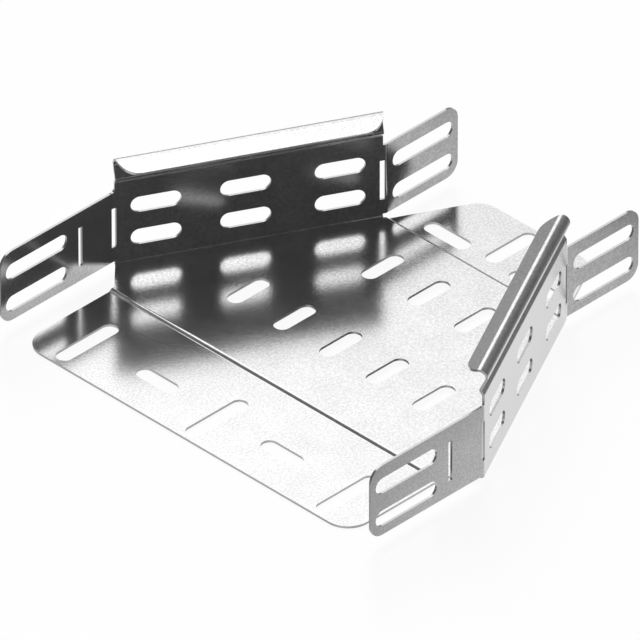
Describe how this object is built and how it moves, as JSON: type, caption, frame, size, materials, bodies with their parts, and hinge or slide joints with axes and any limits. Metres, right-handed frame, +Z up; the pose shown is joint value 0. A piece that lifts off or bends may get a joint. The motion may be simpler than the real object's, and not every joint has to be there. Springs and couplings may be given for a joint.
{
  "type": "cable tray reducer",
  "caption": "Folded steel reducer that joins a wide perforated cable tray to a narrow one, with tapered walls, rolled lips, slotted tabs and joggled floor tongues.",
  "frame": {"origin": "under the middle of the whole piece, on the plane of the tongues' undersides", "axes": "+X from the wide mouth to the narrow mouth, +Y across to one wall, +Z up out of the open top"},
  "size_m": [0.1924, 0.1982, 0.05],
  "materials": {
    "galvanised_sheet": "bright galvanised, fine grain"
  },
  "bodies": {
    "root": {"reducer_sheet": "galvanised_sheet"}
  },
  "joints": []
}
